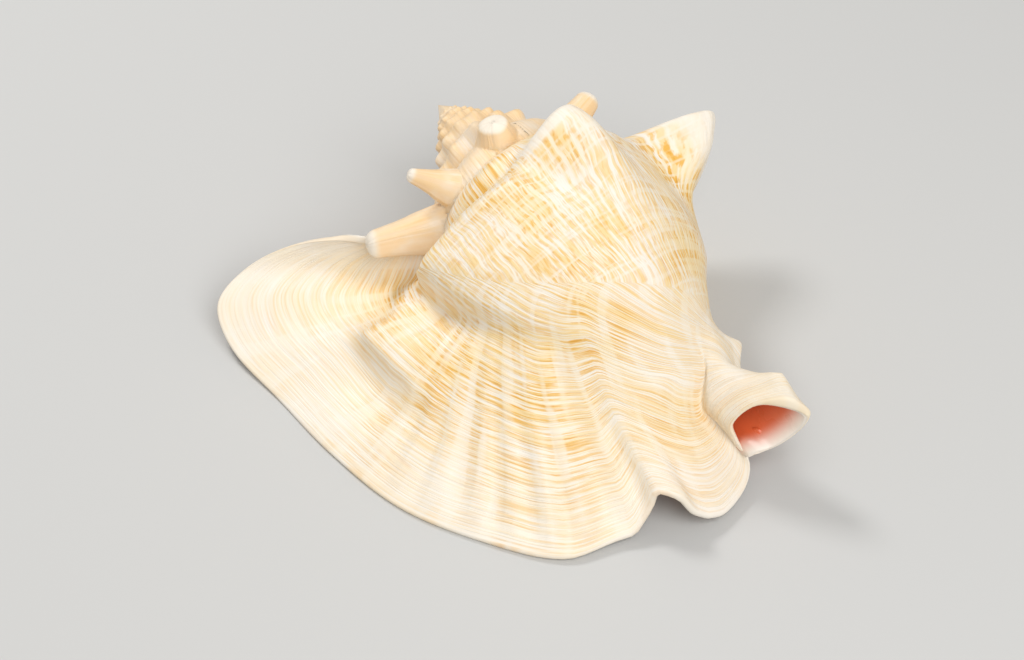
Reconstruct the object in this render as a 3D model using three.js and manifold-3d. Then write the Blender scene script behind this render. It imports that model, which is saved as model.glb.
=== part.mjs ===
// A conch shell lying on its opening: a pointed coil of knobbed turns, a broad last turn and a wide
// flared lip. Millimetres, +Z up. The coil's axis runs along X, from the pointed top to the canal,
// and the lip spreads towards -Y. The origin is on the table, under the middle of the shell.
import * as THREE from 'three';
import { mergeVertices } from 'three/addons/utils/BufferGeometryUtils.js';
import Module from 'manifold-3d';

const wasm = await Module();
wasm.setup();

// The coil's axis, measured from the pointed top
const topX = -110;
const topHeight = 50;
const axisDrop = 0.105; // fall for each millimetre along the axis
const canalDistance = 205;
const bendStart = 105; // from here the axis turns towards +Y
const bendReach = 19;
const turnRatio = 0.7; // size of a turn against the next one

// Angles round the axis grow towards the lip, and 0 is the top of the last turn
const closedEnd = -190; // older turns than this are closed
const wallStart = -204; // the open wall begins inside the closed turns
const knobbedEnd = -560; // up to here the closed turns carry knobs, before it small beads
const firstTurn = -1900;
const beadSpacing = 38;
const beadHeight = 0.12; // against the turn's size

// Walls
const turnWall = 4.6;
const rimWall = 2.8;
const tuckDepth = 1.2; // how far the wall's first edge lies inside the closed turns

// Half outline of the last turn: place v along a growth line, distance a from the top, radius r
const turnOutline = [
  { v: 0, a: 65, r: 34.5 }, // seam on the older turn
  { v: 0.11, a: 71, r: 41.5 }, // ramp
  { v: 0.23, a: 80, r: 47.5 }, // shoulder
  { v: 0.42, a: 105, r: 48.5 },
  { v: 0.62, a: 134, r: 41.5 },
  { v: 0.8, a: 163, r: 23.5 }, // neck
  { v: 1, a: 200, r: 13 }, // canal
];
const shoulderV = 0.23;
const spineV = 0.22;
const seamV = 0.35; // the next turn covers an older one from here

// The lip's edge, from the seam round the wing and the front to the underside of the canal
const lipEdge = [
  { v: 0, at: [-62, -62, 40] },
  { v: 0.05, at: [-74, -71, 37] },
  { v: 0.1, at: [-87, -84, 30] },
  { v: 0.15, at: [-94, -100, 21] },
  { v: 0.2, at: [-89.5, -115.5, 13.5] }, // tip of the wing
  { v: 0.25, at: [-72, -119.5, 6] },
  { v: 0.32, at: [-42, -116, 2.3] }, // stands on the table
  { v: 0.4, at: [-4, -113, 2.3] },
  { v: 0.47, at: [33, -105, 2.3] },
  { v: 0.54, at: [66, -86, 2.3] },
  { v: 0.59, at: [87, -67, 3] },
  { v: 0.62, at: [91, -46, 4.5] },
  { v: 0.66, at: [97, -29, 8] },
  { v: 0.7, at: [101, -14, 7] }, // flap
  { v: 0.72, at: [101, -6, 5] },
  { v: 0.74, at: [96, 6, 6] },
  { v: 0.755, at: [91, 11, 10] },
  { v: 0.775, at: [85.5, 8.5, 21] }, // left side of the canal's mouth
  { v: 0.79, at: [84, 7, 29] },
  { v: 0.81, at: [87, 13, 38] },
  { v: 0.83, at: [92.5, 20.5, 41] },
  { v: 0.85, at: [99, 29, 38] },
  { v: 0.87, at: [99, 31, 33] }, // right-hand corner
  { v: 0.9, at: [96, 29, 24] },
  { v: 0.95, at: [92, 22, 15] },
  { v: 1, at: [88, 13, 10] },
];
// A notch broken into the edge, which fades out away from it
const edgeNotch = [
  { v: 0.63, by: [-1, 0, 0] },
  { v: 0.645, by: [-6, 1, 5] },
  { v: 0.655, by: [-7, 0, 12] },
  { v: 0.67, by: [-2, 2, 10] },
  { v: 0.685, by: [-1, 1, 3] },
  { v: 0.7, by: [0, 0, 0] },
];
// Where the lip leaves the last turn, how far it keeps that direction, and how it meets its edge
const lipRoot = [
  { v: 0, g: 78, lead: 14 },
  { v: 0.1, g: 86, lead: 40 },
  { v: 0.23, g: 88, lead: 55 },
  { v: 0.42, g: 72, lead: 75 },
  { v: 0.58, g: 50, lead: 70 },
  { v: 0.68, g: 22, lead: 45 },
  { v: 0.77, g: -30, lead: 26 },
  { v: 0.86, g: -90, lead: 18 },
  { v: 1, g: -170, lead: 10 },
];
const lipArrival = [
  { v: 0, by: [-8, -14, 4] },
  { v: 0.1, by: [-38, -30, -4] },
  { v: 0.2, by: [-40, -70, -22] },
  { v: 0.3, by: [-14, -72, -34] },
  { v: 0.45, by: [10, -66, -40] },
  { v: 0.58, by: [40, -40, -34] },
  { v: 0.66, by: [46, -14, -16] },
  { v: 0.7, by: [46, -10, -24] },
  { v: 0.73, by: [40, 4, -22] },
  { v: 0.755, by: [26, 14, -12] },
  { v: 0.78, by: [16, 14, -2] },
  { v: 0.81, by: [18, 6, 0] },
  { v: 0.83, by: [22, 4, 0] },
  { v: 0.86, by: [24, 10, -8] },
  { v: 1, by: [20, 6, -4] },
];

// The shoulder from the last spine to the wing: share h of the wall's length, its place v, height of
// the ridge along it and depth of the hollow between it and the seam
const shoulderLine = [
  { h: 0.3, v: 0.24, ridge: 0, hollow: 0 },
  { h: 0.37, v: 0.23, ridge: 0, hollow: 1 },
  { h: 0.42, v: 0.29, ridge: 2, hollow: 6 },
  { h: 0.45, v: 0.31, ridge: 3, hollow: 8 },
  { h: 0.5, v: 0.285, ridge: 3, hollow: 8 },
  { h: 0.56, v: 0.285, ridge: 3, hollow: 8 },
  { h: 0.62, v: 0.25, ridge: 2, hollow: 6 },
  { h: 0.667, v: 0.263, ridge: 2.5, hollow: 5 },
  { h: 0.727, v: 0.31, ridge: 3, hollow: 5 },
  { h: 0.79, v: 0.31, ridge: 2, hollow: 4 },
  { h: 0.88, v: 0.3, ridge: 1, hollow: 1 },
  { h: 1, v: 0.3, ridge: 0, hollow: 0 },
];

// Forms on the open wall: angle g or share h, push from foot to top, the foot's reach behind and ahead
// in the growth direction, up to the top and down to the canal, and how flat the form's top is
const wallForms = [
  { g: -128, v: 0.22, push: [-2, 24, -19], behind: 13, ahead: 13, up: 11, down: 22, flat: 1.6 },
  { g: -86, v: 0.22, push: [1, 23, 8], behind: 18, ahead: 12, up: 10, down: 34, flat: 1.6 },
  { g: -86, v: 0.225, push: [0.5, 19, 5.5], behind: 11, ahead: 9, up: 9, down: 20, flat: 4 },
  { g: -88, v: 0.31, push: [-2, -4, -1], behind: 6, ahead: 6, up: 8, down: 18, flat: 2 },
  { g: -5, v: 0.225, push: [0, 5.5, 11.5], behind: 12, ahead: 11, up: 11, down: 34, flat: 2.3 },
  { h: 0.425, v: 0.32, push: [0, 1, -4], behind: 9, ahead: 6, up: 12, down: 26, flat: 2 },
  { h: 0.575, v: 0.3, push: [-1, -6, 8], behind: 22, ahead: 5, up: 9, down: 46, flat: 2 },
  { h: 0.625, v: 0.38, push: [0, 2, -4], behind: 5, ahead: 12, up: 16, down: 26, flat: 2 },
  { h: 0.785, v: 0.335, push: [-1, -4, 7], behind: 18, ahead: 5, up: 8, down: 30, flat: 1.9 },
  { h: 0.85, v: 0.37, push: [0, 1, -4], behind: 7, ahead: 12, up: 14, down: 22, flat: 2 },
  { h: 0.4, v: 0.77, push: [1, 1.8, 0.5], behind: 30, ahead: 30, up: 18, down: 18, flat: 2 },
  { h: 0.3, v: 0.63, push: [1.5, 3, 0.5], behind: 30, ahead: 26, up: 30, down: 24, flat: 2 },
  { h: 0.66, v: 0.87, push: [1, 6, 3], behind: 6, ahead: 6, up: 6, down: 6, flat: 1.6 },
  { h: 0.75, v: 0.85, push: [0, -4, -5], behind: 8, ahead: 8, up: 10, down: 10, flat: 1.6 },
  { h: 0.9, v: 0.838, push: [1, 2, 8], behind: 6, ahead: 8, up: 6, down: 6, flat: 1.6 },
];
const spineAngles = [-128, -86, -5];

// Knobs on the closed turns: angle, reach, lean to the top, foot radius and tip radius
const closedKnobs = [
  { g: -225, reach: 7, lean: 0, foot: 9, tip: 5 },
  { g: -271, reach: 29, lean: 9, foot: 10.5, tip: 5.6 },
  { g: -300, reach: 15, lean: 11, foot: 9, tip: 3 },
  { g: -347, reach: 7.5, lean: 1, foot: 10.5, tip: 6 },
  { g: -425, reach: 18.5, lean: 7.5, foot: 8.5, tip: 4.8 },
  { g: -445, reach: 5, lean: 2, foot: 7, tip: 2.8 },
  { g: -487, reach: 4.5, lean: 2, foot: 6.5, tip: 2.6 },
  { g: -529, reach: 4, lean: 2, foot: 6, tip: 2.4 },
];

// The pillar inside the coil, from the top to the canal
const pillar = [
  { t: 0, at: [-107, 0, 49.7], r: 1 },
  { t: 0.4, at: [-30, 0, 42], r: 15 },
  { t: 0.6, at: [10, 2, 35], r: 13 },
  { t: 0.78, at: [42, 7, 26], r: 10 },
  { t: 0.9, at: [64, 13, 19], r: 7 },
  { t: 1, at: [84, 17, 14], r: 3.5 },
];

const { clamp, degToRad, lerp, smoothstep } = THREE.MathUtils;
const vec = (x, y, z) => new THREE.Vector3(x, y, z);
const near = (x, centre, width) => Math.exp(-(((x - centre) / width) ** 2));

// A smooth curve through keys [x, values], in cubic pieces that follow the neighbouring keys
function smoothKeys(keys) {
  const slope = (i, c) => {
    const [x0, lo] = keys[Math.max(i - 1, 0)];
    const [x1, hi] = keys[Math.min(i + 1, keys.length - 1)];
    return (hi[c] - lo[c]) / (x1 - x0);
  };
  return (x) => {
    let i = 0;
    while (i < keys.length - 2 && x > keys[i + 1][0]) i++;
    const [x0, from] = keys[i];
    const [x1, to] = keys[i + 1];
    const span = x1 - x0;
    const [p0, m0, p1, m1] = cubicWeights(clamp((x - x0) / span, 0, 1));
    return from.map((value, c) => {
      const bend = m0 * slope(i, c) + m1 * slope(i + 1, c);
      return p0 * value + p1 * to[c] + bend * span;
    });
  };
}

function cubicWeights(t) {
  const t2 = t * t;
  const t3 = t2 * t;
  return [2 * t3 - 3 * t2 + 1, t3 - 2 * t2 + t, 3 * t2 - 2 * t3, t3 - t2];
}

const outlineAt = smoothKeys(turnOutline.map((k) => [k.v, [k.a, k.r]]));
const rootAt = smoothKeys(lipRoot.map((k) => [k.v, [k.g, k.lead]]));
const edgeAt = smoothKeys(lipEdge.map((k) => [k.v, k.at]));
const notchAt = smoothKeys(edgeNotch.map((k) => [k.v, k.by]));
const arrivalAt = smoothKeys(lipArrival.map((k) => [k.v, k.by]));
const shoulderAt = smoothKeys(shoulderLine.map((k) => [k.h, [k.v, k.ridge, k.hollow]]));
// Past its top the last turn stops moving down the shell and widens a little
const lateGrowth = smoothKeys([[0, [1, 1]], [45, [0.985, 1.03]], [90, [0.95, 1.07]]]);

function turnScale(g) {
  return turnRatio ** (-g / 360);
}

function axisPoint(a) {
  const past = Math.max(0, (a - bendStart) / (canalDistance - bendStart));
  return vec(topX + a, bendReach * past * past, topHeight - axisDrop * a);
}

// The point at distance a from the top and radius r, turned from straight up towards the lip
function around(a, r, angle) {
  const turned = degToRad(angle);
  return axisPoint(a).add(vec(0, -r * Math.sin(turned), r * Math.cos(turned)));
}

function turnPoint(g, v) {
  const [a, r] = outlineAt(v);
  const [ka, kr] = g > 0 ? lateGrowth(g) : [turnScale(g), turnScale(g)];
  return around(a * ka, r * kr, g);
}

// The smooth open wall: h runs from its start inside the shell, 0, to the lip's edge, 1
const bodyShare = 0.55;
const notchFade = 4;
function wallPoint(h, v) {
  const [root, reach] = rootAt(v);
  if (h <= bodyShare) return turnPoint(lerp(wallStart, root, h / bodyShare), v);
  const [p0, m0, p1, m1] = cubicWeights((h - bodyShare) / (1 - bodyShare));
  const from = turnPoint(root, v);
  const lead = from.clone().sub(turnPoint(root - 1, v)).setLength(reach);
  return from
    .multiplyScalar(p0)
    .addScaledVector(lead, m0)
    .addScaledVector(vec(...edgeAt(v)), p1)
    .addScaledVector(vec(...arrivalAt(v)), m1)
    .addScaledVector(vec(...notchAt(v)), p1 ** notchFade);
}

function shareAt(g, v) {
  return (bodyShare * (g - wallStart)) / (rootAt(v)[0] - wallStart);
}

// The directions of growth and of the growth line at a form's foot
function wallFormAt(form) {
  const step = 0.004;
  const h = form.h ?? shareAt(form.g, form.v);
  const foot = wallPoint(h, form.v);
  const growth = wallPoint(h + step, form.v).sub(wallPoint(h - step, form.v)).normalize();
  const line = wallPoint(h, form.v + step).sub(wallPoint(h, form.v - step)).normalize();
  const out = growth.clone().cross(line);
  return { ...form, foot, growth, line, out, skew: growth.dot(line), push: vec(...form.push) };
}

// Raises the shoulder line of the smooth wall and hollows the ramp beside it
function withShoulder(point, h, v, out) {
  const ridgeWidth = 0.05;
  const hollowWidth = 0.09;
  const hollowAbove = 0.13;
  const [place, ridge, hollow] = shoulderAt(clamp(h, shoulderLine[0].h, 1));
  const raised = ridge * near(v, place, ridgeWidth) - hollow * near(v, place - hollowAbove, hollowWidth);
  return point.clone().addScaledVector(out, raised);
}

// How far every form whose foot a point stands on pushes it, but not on the far side of the shell
function pushAt(point, forms) {
  const farSide = -50;
  const nearSide = -20;
  const push = vec(0, 0, 0);
  for (const form of forms) {
    const d = point.clone().sub(form.foot);
    const facing = smoothstep(d.dot(form.out), farSide, nearSide);
    const [first, second] = [d.dot(form.growth), d.dot(form.line)];
    const square = 1 - form.skew ** 2;
    const grown = (first - form.skew * second) / square;
    const along = (second - form.skew * first) / square;
    const x = Math.abs(grown) / (grown > 0 ? form.ahead : form.behind);
    const y = Math.abs(along) / (along > 0 ? form.down : form.up);
    push.addScaledVector(form.push, facing * Math.exp(-(x ** form.flat) - y ** form.flat));
  }
  return push;
}

// Places from 0 to 1, closer together where the weight is larger
function spaced(count, weight) {
  const fine = 400;
  const sum = [0];
  for (let i = 0; i < fine; i++) sum.push(sum[i] + weight((i + 0.5) / fine));
  let k = 0;
  return Array.from({ length: count + 1 }, (_, n) => {
    const wanted = (sum[fine] * n) / count;
    while (k < fine - 1 && sum[k + 1] < wanted) k++;
    return (k + (wanted - sum[k]) / (sum[k + 1] - sum[k])) / fine;
  });
}

// Moves the nearest place to a wanted one
function snap(places, wanted) {
  const gap = (x) => Math.abs(x - wanted);
  const nearest = places.reduce((best, x, i) => (gap(x) < gap(places[best]) ? i : best), 0);
  places[nearest] = wanted;
}

// A solid from rings of points that all hold the same count, closed by a fan at both ends
function solidFromRings(rings) {
  const n = rings[0].length;
  const index = [];
  for (let i = 0; i + 1 < rings.length; i++) {
    for (let j = 0; j < n; j++) {
      const a = i * n + j;
      const b = i * n + ((j + 1) % n);
      index.push(a, b, b + n, a, b + n, a + n);
    }
  }
  const last = (rings.length - 1) * n;
  for (const [x, y, z] of ladder(n)) {
    index.push(z, y, x);
    index.push(last + x, last + y, last + z);
  }
  const positions = rings.flat().flatMap((p) => p.toArray());
  const geometry = new THREE.BufferGeometry();
  geometry.setAttribute('position', new THREE.Float32BufferAttribute(positions, 3));
  geometry.setIndex(index);
  return solidFrom(geometry);
}

// Triangles that close a thin ring of n points by joining its two sides
function ladder(n) {
  const triangles = [];
  let low = 0;
  let high = n - 1;
  while (high - low > 1) {
    triangles.push([low, low + 1, high]);
    low++;
    if (high - low > 1) triangles.push([low, high - 1, high]);
    high--;
  }
  return triangles;
}

function solidFrom(geometry) {
  const bare = geometry.clone();
  bare.deleteAttribute('normal');
  bare.deleteAttribute('uv');
  const merged = mergeVertices(bare, 1e-3);
  const vertProperties = merged.attributes.position.array;
  const triVerts = new Uint32Array(merged.index.array);
  const solid = new wasm.Manifold(new wasm.Mesh({ numProp: 3, vertProperties, triVerts }));
  if (solid.volume() > 0) return solid;
  for (let i = 0; i < triVerts.length; i += 3) triVerts.subarray(i, i + 2).reverse();
  return new wasm.Manifold(new wasm.Mesh({ numProp: 3, vertProperties, triVerts }));
}

// The share of its thickness that the wall keeps in the crease beside the canal
function creaseShare(h, v) {
  const creaseV = 0.775;
  const creaseWidth = 0.03;
  const lost = 0.55;
  return 1 - lost * near(v, creaseV, creaseWidth) * smoothstep(h, 0.7, 0.84);
}

// The last turn and the lip: a wall whose outside and inside meet at the lip's edge
function openWall(rows, columns) {
  const forms = wallForms.map(wallFormAt);
  const spineShares = spineAngles.map((g) => shareAt(g, spineV));
  const spineWeight = (h) => spineShares.reduce((sum, share) => sum + 1.6 * near(h, share, 0.035), 0);
  const hs = spaced(rows, (h) => 1 + spineWeight(h));
  const vs = spaced(columns, (v) => 1 + 1.4 * near(v, shoulderV, 0.08) + 1.4 * near(v, 0.75, 0.13));
  spineShares.forEach((share) => snap(hs, share));
  snap(vs, spineV);
  const smooth = hs.map((h) => vs.map((v) => wallPoint(h, v)));
  const rings = hs.map((h, i) => {
    const before = smooth[Math.max(i - 1, 0)];
    const after = smooth[Math.min(i + 1, rows)];
    const wall = lerp(turnWall, rimWall, smoothstep(h, bodyShare, 1));
    const outside = [];
    const inside = [];
    smooth[i].forEach((point, j) => {
      const growth = after[j].clone().sub(before[j]);
      const line = smooth[i][Math.min(j + 1, columns)].clone().sub(smooth[i][Math.max(j - 1, 0)]);
      const out = growth.cross(line).normalize();
      const g = lerp(wallStart, rootAt(vs[j])[0], Math.min(h / bodyShare, 1));
      const tuck = tuckDepth * clamp((closedEnd - g) / (closedEnd - wallStart), 0, 1);
      const shaped = withShoulder(point, h, vs[j], out).add(pushAt(point, forms));
      const sunk = Math.min(shaped.clone().sub(point).dot(out), 0);
      outside.push(shaped.addScaledVector(out, -tuck));
      inside.push(point.clone().addScaledVector(out, sunk - creaseShare(h, vs[j]) * wall - tuck));
    });
    return [...outside, ...inside.reverse()];
  });
  return solidFromRings(rings);
}

// A stretch of closed turns, from the seam to endV on the outside and to a thin core on the axis
function closedTurns(from, to, steps, columns, endV) {
  const coreRadius = 0.6;
  const coreStart = outlineAt(0)[0] * 0.96;
  const coreEnd = outlineAt(endV)[0] * 1.02;
  const beadWidth = 0.09;
  const rings = [];
  for (let i = 0; i <= steps; i++) {
    const g = lerp(from, to, i / steps);
    const scale = turnScale(g);
    const swell = endV < 1 ? beadHeight * (0.5 + 0.5 * Math.cos((2 * Math.PI * g) / beadSpacing)) : 0;
    const ring = [];
    for (let j = 0; j <= columns; j++) {
      const v = (endV * j) / columns;
      const [a, r] = outlineAt(v);
      ring.push(around(a * scale, r * scale * (1 + swell * near(v, shoulderV, beadWidth)), g));
    }
    ring.push(around(coreEnd * scale, coreRadius * scale, g));
    ring.push(around(coreStart * scale, coreRadius * scale, g));
    rings.push(ring);
  }
  return solidFromRings(rings);
}

// A blunt cone that stands on the shoulder of a closed turn
function closedKnob({ g, reach, lean, foot, tip }) {
  const base = turnPoint(g, shoulderV);
  const centre = around(outlineAt(shoulderV)[0] * turnScale(g), 0, g);
  const out = base.clone().sub(centre).normalize();
  const start = base.clone().addScaledVector(out, -foot);
  const end = base.clone().addScaledVector(out, reach).add(vec(-lean, 0, 0));
  const length = start.distanceTo(end);
  const waist = new THREE.Vector2(lerp(foot, tip, 0.7), length * 0.6);
  const outline = [new THREE.Vector2(0, 0), new THREE.Vector2(foot, 0), waist];
  for (const turned of [0, 30, 60]) {
    const q = degToRad(turned);
    outline.push(new THREE.Vector2(tip * Math.cos(q), length - tip + tip * Math.sin(q)));
  }
  outline.push(new THREE.Vector2(0, length));
  const cone = new THREE.LatheGeometry(outline, 11);
  cone.applyQuaternion(new THREE.Quaternion().setFromUnitVectors(vec(0, 1, 0), end.sub(start).normalize()));
  cone.translate(start.x, start.y, start.z);
  return solidFrom(cone);
}

function pillarSolid(steps, sides) {
  const at = smoothKeys(pillar.map((k) => [k.t, [...k.at, k.r]]));
  const rings = [];
  for (let i = 0; i <= steps; i++) {
    const [x, y, z, r] = at(i / steps);
    const ring = [];
    for (let j = 0; j < sides; j++) {
      const turned = (2 * Math.PI * j) / sides;
      ring.push(vec(x, y + r * Math.sin(turned), z + r * Math.cos(turned)));
    }
    rings.push(ring);
  }
  return solidFromRings(rings);
}

// Older turns, each stretch just under one round, down to the tiny first ones
function smallTurns(mostSteps, fewestSteps) {
  const solids = [];
  const stretch = 345;
  const overlap = 12;
  for (let to = knobbedEnd + overlap; to > firstTurn; to -= stretch - overlap) {
    const steps = Math.round(lerp(fewestSteps, mostSteps, turnScale(to - knobbedEnd)));
    solids.push(closedTurns(to - stretch, to, steps, 3, seamV));
  }
  return solids;
}

function topCone() {
  const length = 12;
  const radius = 6.7;
  const cone = new THREE.ConeGeometry(radius, length, 10);
  cone.rotateZ(Math.PI / 2);
  cone.translate(topX + length / 2, 0, topHeight - axisDrop * length * 0.5);
  return solidFrom(cone);
}

const table = new THREE.BoxGeometry(400, 400, 40);
table.translate(0, 0, -20);

const joined = wasm.Manifold.union([
  openWall(37, 31),
  closedTurns(-365, closedEnd, 14, 10, 1),
  closedTurns(knobbedEnd, -355, 16, 8, 1),
  ...smallTurns(28, 12),
  topCone(),
  pillarSolid(12, 10),
  ...closedKnobs.map(closedKnob),
]).subtract(solidFrom(table)); // worn flat where it stands

// Only the shell itself: turns that meet can leave a crumb of air sealed between them
const shell = joined.decompose().reduce((best, piece) => (piece.volume() > best.volume() ? piece : best));

const { vertProperties, triVerts } = shell.getMesh();
const geometry = new THREE.BufferGeometry();
geometry.setAttribute('position', new THREE.BufferAttribute(vertProperties, 3));
geometry.setIndex(new THREE.BufferAttribute(triVerts, 1));
geometry.computeBoundingBox();
const middle = geometry.boundingBox.getCenter(vec(0, 0, 0));
geometry.translate(-middle.x, -middle.y, 0);
geometry.computeVertexNormals();

const shellWhite = new THREE.MeshStandardMaterial({ color: 0xf3e3c6, roughness: 0.55, metalness: 0 });
const mesh = new THREE.Mesh(geometry, shellWhite);
mesh.name = 'conch_shell';

const conch = new THREE.Group();
conch.add(mesh);
export default conch;
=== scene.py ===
import math
import bmesh
import bpy
import numpy as np
from mathutils import Matrix, Vector
from mathutils.kdtree import KDTree


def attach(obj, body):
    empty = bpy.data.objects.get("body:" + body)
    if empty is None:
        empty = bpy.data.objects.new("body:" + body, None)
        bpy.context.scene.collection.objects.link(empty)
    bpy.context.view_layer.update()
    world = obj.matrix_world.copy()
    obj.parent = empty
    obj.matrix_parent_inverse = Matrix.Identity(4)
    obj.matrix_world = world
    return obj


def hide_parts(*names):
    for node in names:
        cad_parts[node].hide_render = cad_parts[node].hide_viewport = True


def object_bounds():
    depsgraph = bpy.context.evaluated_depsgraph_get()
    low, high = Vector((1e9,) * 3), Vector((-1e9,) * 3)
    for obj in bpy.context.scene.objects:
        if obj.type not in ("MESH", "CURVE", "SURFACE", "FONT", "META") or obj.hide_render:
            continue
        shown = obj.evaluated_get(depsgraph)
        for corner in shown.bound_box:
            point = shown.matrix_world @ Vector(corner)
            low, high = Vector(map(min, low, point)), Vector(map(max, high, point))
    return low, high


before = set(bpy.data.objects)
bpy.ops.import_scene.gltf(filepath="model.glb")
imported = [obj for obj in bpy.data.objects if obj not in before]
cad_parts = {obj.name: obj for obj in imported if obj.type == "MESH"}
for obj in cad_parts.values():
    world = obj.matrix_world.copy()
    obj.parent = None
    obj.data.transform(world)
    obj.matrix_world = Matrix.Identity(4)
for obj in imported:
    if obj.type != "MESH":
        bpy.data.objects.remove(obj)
cadLow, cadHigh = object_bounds()
print("frame loaded")

# Sizes are in millimetres here and become metres when a mesh is made. The coil's axis runs along X
# from the pointed top to the canal, and angles round it grow towards the lip, with 0 at the top.
coil = {
    "topX": -110, "topHeight": 50, "axisDrop": 0.105,
    "canalDistance": 205, "bendStart": 105, "bendReach": 19,
    "turnRatio": 0.7,
    "closedEnd": -190, "knobbedEnd": -560, "firstTurn": -1900,
    "beadSpacing": 27, "beadHeight": 0.13,
    "shoulder": 0.23, "seam": 0.35,
    # place along a growth line, distance from the top, radius
    "outline": [
        (0, 65, 34.5), (0.11, 71, 41.5), (0.23, 80, 47.5), (0.42, 105, 48.5),
        (0.62, 134, 41.5), (0.8, 163, 23.5), (1, 200, 13),
    ],
    "lateGrowth": [(0, 1, 1), (45, 0.985, 1.03), (90, 0.95, 1.07)],
}
lip = {
    "bodyShare": 0.55, "wallStart": -204, "notchFade": 4,
    "turnWall": 4.6, "rimWall": 2.8, "tuck": 1.2, "lastAge": 172,
    "edge": [
        (0, -62, -62, 40), (0.05, -74, -71, 37), (0.1, -87, -84, 30), (0.15, -94, -100, 21),
        (0.2, -89.5, -115.5, 13.5), (0.25, -72, -119.5, 6), (0.32, -42, -116, 2.3), (0.4, -4, -113, 2.3),
        (0.47, 33, -105, 2.3), (0.54, 66, -86, 2.3), (0.59, 87, -67, 3), (0.62, 91, -46, 4.5),
        (0.66, 97, -29, 8), (0.7, 101, -14, 7), (0.72, 101, -6, 5), (0.74, 96, 6, 6),
        (0.755, 91, 11, 10), (0.775, 85.5, 8.5, 21), (0.79, 84, 7, 29), (0.81, 87, 13, 38),
        (0.83, 92.5, 20.5, 41), (0.85, 99, 29, 38), (0.87, 99, 31, 33), (0.9, 96, 29, 24),
        (0.95, 92, 22, 15), (1, 88, 13, 10),
    ],
    "notch": [
        (0.63, -1, 0, 0), (0.645, -6, 1, 5), (0.655, -7, 0, 12), (0.67, -2, 2, 10),
        (0.685, -1, 1, 3), (0.7, 0, 0, 0),
    ],
    # place, angle where the lip leaves the last turn, how far it keeps that direction
    "root": [
        (0, 78, 14), (0.1, 86, 40), (0.23, 88, 55), (0.42, 72, 75), (0.58, 50, 70),
        (0.68, 22, 45), (0.77, -30, 26), (0.86, -90, 18), (1, -170, 10),
    ],
    "arrival": [
        (0, -8, -14, 4), (0.1, -38, -30, -4), (0.2, -40, -70, -22), (0.3, -14, -72, -34),
        (0.45, 10, -66, -40), (0.58, 40, -40, -34), (0.66, 46, -14, -16), (0.7, 46, -10, -24),
        (0.73, 40, 4, -22), (0.755, 26, 14, -12), (0.78, 16, 14, -2), (0.81, 18, 6, 0),
        (0.83, 22, 4, 0), (0.86, 24, 10, -8), (1, 20, 6, -4),
    ],
}
# The shoulder from the last spine to the wing: share, its place, height of the ridge along it and
# depth of the hollow between it and the seam
shoulderLine = [
    (0.3, 0.24, 0, 0), (0.37, 0.23, 0, 1), (0.42, 0.29, 2, 6), (0.45, 0.31, 3, 8),
    (0.5, 0.285, 3, 8), (0.56, 0.285, 3, 8), (0.62, 0.25, 2, 6), (0.667, 0.263, 2.5, 5),
    (0.727, 0.31, 3, 5), (0.79, 0.31, 2, 4), (0.88, 0.3, 1, 1), (1, 0.3, 0, 0),
]
# Forms on the wall: angle or share, place, push, reach behind, ahead, up and down, how flat its top
# is, and how much of it is a worn tip
wallForms = [
    {"g": -128, "v": 0.22, "push": (-2, 24, -19), "reach": (13, 13, 11, 22), "flat": 1.6, "tip": 1},
    {"g": -86, "v": 0.22, "push": (1, 23, 8), "reach": (18, 12, 10, 34), "flat": 1.6, "tip": 0.6},
    {"g": -86, "v": 0.225, "push": (0.5, 19, 5.5), "reach": (11, 9, 9, 20), "flat": 4, "tip": 1},
    {"g": -88, "v": 0.31, "push": (-2, -4, -1), "reach": (6, 6, 8, 18), "flat": 2, "tip": 0},
    {"g": -5, "v": 0.225, "push": (0, 5.5, 11.5), "reach": (12, 11, 11, 34), "flat": 2.3, "tip": 0.6},
    {"g": 2, "v": 0.2, "push": (0, 0, 0), "reach": (6, 13, 8, 8), "flat": 3, "tip": 1},
    {"h": 0.425, "v": 0.32, "push": (0, 1, -4), "reach": (9, 6, 12, 26), "flat": 2, "tip": 0},
    {"h": 0.575, "v": 0.3, "push": (-1, -6, 8), "reach": (22, 5, 9, 46), "flat": 2, "tip": 0.3},
    {"h": 0.625, "v": 0.38, "push": (0, 2, -4), "reach": (5, 12, 16, 26), "flat": 2, "tip": 0},
    {"h": 0.785, "v": 0.335, "push": (-1, -4, 7), "reach": (18, 5, 8, 30), "flat": 1.9, "tip": 0.2},
    {"h": 0.85, "v": 0.37, "push": (0, 1, -4), "reach": (7, 12, 14, 22), "flat": 2, "tip": 0},
    {"h": 0.4, "v": 0.77, "push": (1, 1.8, 0.5), "reach": (30, 30, 18, 18), "flat": 2, "tip": 0},
    {"h": 0.3, "v": 0.63, "push": (1.5, 3, 0.5), "reach": (30, 26, 30, 24), "flat": 2, "tip": 0},
    {"h": 0.66, "v": 0.87, "push": (1, 6, 3), "reach": (6, 6, 6, 6), "flat": 1.6, "tip": 0},
    {"h": 0.75, "v": 0.85, "push": (0, -4, -5), "reach": (8, 8, 10, 10), "flat": 1.6, "tip": 0},
    {"h": 0.9, "v": 0.838, "push": (1, 2, 8), "reach": (6, 8, 6, 6), "flat": 1.6, "tip": 0},
]
# Knobs of the closed turns: angle, reach, lean to the top, foot and tip radius
closedKnobs = [
    (-225, 7, 0, 9, 5), (-271, 29, 9, 10.5, 5.6), (-300, 15, 11, 9, 3), (-347, 7.5, 1, 10.5, 6),
    (-425, 18.5, 7.5, 8.5, 4.8), (-445, 5, 2, 7, 2.8), (-487, 4.5, 2, 6.5, 2.6), (-529, 4, 2, 6, 2.4),
]
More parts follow.
